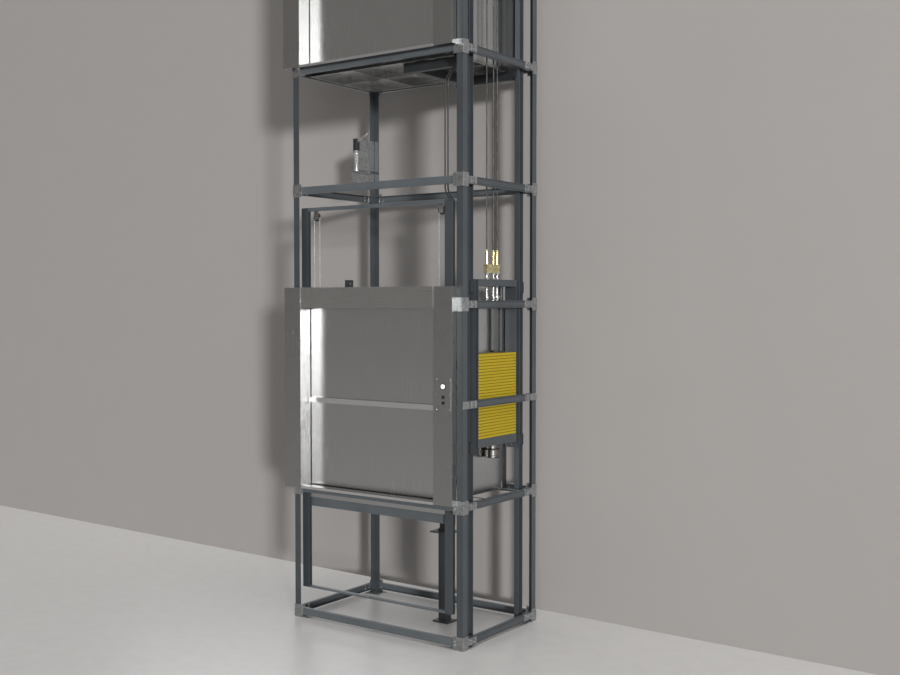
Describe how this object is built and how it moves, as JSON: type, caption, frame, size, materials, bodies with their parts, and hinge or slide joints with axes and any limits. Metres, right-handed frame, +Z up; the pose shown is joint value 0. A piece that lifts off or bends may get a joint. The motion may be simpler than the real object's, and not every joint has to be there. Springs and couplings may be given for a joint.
{
  "type": "dumbwaiter lift",
  "caption": "Small goods lift in a bolted steel tower, with stacked landing doors, a shelved car, a yellow counterweight on rails and a rope drive on top.",
  "frame": {"origin": "on the floor, in the middle of the plan of the whole lift", "axes": "+Z up; +Y from the doors to the back; +X to the right seen from the doors, towards the counterweight"},
  "size_m": [1.194, 0.763, 5.265],
  "materials": {
    "frame_paint": "satin",
    "zinc": "satin",
    "stainless": "brushed",
    "bright_steel": "satin",
    "black_paint": "satin",
    "yellow_paint": "satin",
    "brass": "satin",
    "black_rubber": "matte",
    "drive_paint": "satin",
    "cast_weight": "satin",
    "cabinet_paint": "satin",
    "white_plastic": "gloss",
    "black_plastic": "matte"
  },
  "bodies": {
    "tower": {"corner_posts": "frame_paint", "cross_beams": "frame_paint", "side_beams": "frame_paint", "corner_brackets": "zinc", "bracket_bolts": "bright_steel", "foot_plates": "zinc", "guide_rails": "frame_paint", "rail_clips": "zinc", "counterweight_screen": "stainless", "buffer_stand": "frame_paint", "buffer_pad": "black_rubber", "door_jambs": "stainless", "door_lintels": "stainless", "door_sills": "bright_steel", "door_guide_posts": "frame_paint", "door_guide_ties": "frame_paint", "door_pulley_brackets": "zinc", "door_locks": "black_paint", "call_plates": "stainless", "rope_bends": "black_paint", "machine_beams": "frame_paint", "gear_motor": "drive_paint", "control_cabinet": "cabinet_paint", "limit_switch": "zinc", "landing_cables": "black_rubber"},
    "car": {"car_floor": "stainless", "car_walls": "stainless", "car_roof": "stainless", "car_shelf": "bright_steel", "car_sling": "black_paint", "car_guide_shoes": "black_plastic", "car_rope_hitch": "brass", "car_ropes": "black_paint"},
    "counterweight": {"counterweight_frame": "frame_paint", "counterweight_plates": "yellow_paint", "counterweight_clamp": "black_paint", "counterweight_shoes": "black_plastic", "counterweight_rope_rods": "bright_steel", "counterweight_springs": "bright_steel", "counterweight_rope_sockets": "brass", "counterweight_buffer": "bright_steel", "counterweight_ropes": "black_paint"},
    "sheave": {"traction_sheave": "cast_weight"},
    "lower_top_leaf": {"lower_door_top_panel": "stainless", "door_lift_ropes": "bright_steel"},
    "lower_bottom_leaf": {"lower_door_bottom_panel": "stainless", "lower_door_handle": "bright_steel", "door_drop_ropes": "bright_steel"},
    "left_pulley": {"left_door_pulley": "black_plastic"},
    "right_pulley": {"right_door_pulley": "black_plastic"},
    "upper_fast_leaf": {"upper_door_fast_panel": "stainless", "upper_door_handle": "bright_steel"},
    "upper_slow_leaf": {"upper_door_slow_panel": "stainless", "door_balance_tapes": "bright_steel"},
    "left_reel": {"left_balance_reel": "black_plastic"},
    "right_reel": {"right_balance_reel": "black_plastic"},
    "lower_button": {"lower_call_button": "white_plastic"},
    "upper_button": {"upper_call_button": "white_plastic"},
    "switch_lever": {"limit_lever": "bright_steel"},
    "cabinet_leaf": {"cabinet_door": "cabinet_paint"}
  },
  "joints": [
    {"name": "car_lift", "type": "slide", "parent": "tower", "child": "car", "axis": [0, 0, 1], "range_m": [-2.32, 0], "deforming": ["car_ropes"]},
    {"name": "counterweight_lift", "type": "slide", "parent": "tower", "child": "counterweight", "axis": [0, 0, 1], "range_m": [0, 2.32], "deforming": ["counterweight_ropes"]},
    {"name": "sheave_turn", "type": "hinge", "parent": "tower", "child": "sheave", "pos_m": [0.354, 0.0335, 4.96], "axis": [0, 1, 0], "range_deg": [-806, 0]},
    {"name": "lower_door_open", "type": "slide", "parent": "tower", "child": "lower_top_leaf", "axis": [0, 0, 1], "range_m": [0, 0.49], "deforming": ["door_lift_ropes"]},
    {"name": "lower_door_drop", "type": "slide", "parent": "tower", "child": "lower_bottom_leaf", "axis": [0, 0, 1], "range_m": [-0.49, 0], "deforming": ["door_drop_ropes"]},
    {"name": "left_pulley_turn", "type": "hinge", "parent": "tower", "child": "left_pulley", "pos_m": [-0.454, -0.2605, 2.243], "axis": [0, 1, 0], "range_deg": [-1404, 0]},
    {"name": "right_pulley_turn", "type": "hinge", "parent": "tower", "child": "right_pulley", "pos_m": [0.406, -0.2605, 2.243], "axis": [0, 1, 0], "range_deg": [0, 1404]},
    {"name": "upper_door_open", "type": "slide", "parent": "tower", "child": "upper_fast_leaf", "axis": [0, 0, 1], "range_m": [0, 0.99]},
    {"name": "upper_door_follow", "type": "slide", "parent": "tower", "child": "upper_slow_leaf", "axis": [0, 0, 1], "range_m": [0, 0.495], "deforming": ["door_balance_tapes"]},
    {"name": "left_reel_turn", "type": "hinge", "parent": "tower", "child": "left_reel", "pos_m": [-0.454, -0.2625, 4.647], "axis": [0, 1, 0], "range_deg": [-1419, 0]},
    {"name": "right_reel_turn", "type": "hinge", "parent": "tower", "child": "right_reel", "pos_m": [0.406, -0.2625, 4.647], "axis": [0, 1, 0], "range_deg": [0, 1419]},
    {"name": "lower_call_press", "type": "slide", "parent": "tower", "child": "lower_button", "axis": [0, 1, 0], "range_m": [0, 0.002], "stiffness_N_per_m": 400, "springref_m": -0.002},
    {"name": "upper_call_press", "type": "slide", "parent": "tower", "child": "upper_button", "axis": [0, 1, 0], "range_m": [0, 0.002], "stiffness_N_per_m": 400, "springref_m": -0.002},
    {"name": "switch_trip", "type": "hinge", "parent": "tower", "child": "switch_lever", "pos_m": [-0.5255, 0.1845, 2.723], "axis": [1, 0, 0], "range_deg": [-20, 20], "stiffness_Nm_per_rad": 0.3},
    {"name": "cabinet_open", "type": "hinge", "parent": "tower", "child": "cabinet_leaf", "pos_m": [-0.506, -0.2665, 4.961], "axis": [0, 0, 1], "range_deg": [-90, 0]}
  ],
  "couplings": [
    {"joint": "counterweight_lift", "follows": "car_lift", "ratio": -1},
    {"joint": "sheave_turn", "follows": "car_lift", "rad_per_m": 6.0606},
    {"joint": "lower_door_drop", "follows": "lower_door_open", "ratio": -1},
    {"joint": "left_pulley_turn", "follows": "lower_door_open", "rad_per_m": -50},
    {"joint": "right_pulley_turn", "follows": "lower_door_open", "rad_per_m": 50},
    {"joint": "upper_door_follow", "follows": "upper_door_open", "ratio": 0.5},
    {"joint": "left_reel_turn", "follows": "upper_door_open", "rad_per_m": -25},
    {"joint": "right_reel_turn", "follows": "upper_door_open", "rad_per_m": 25}
  ]
}
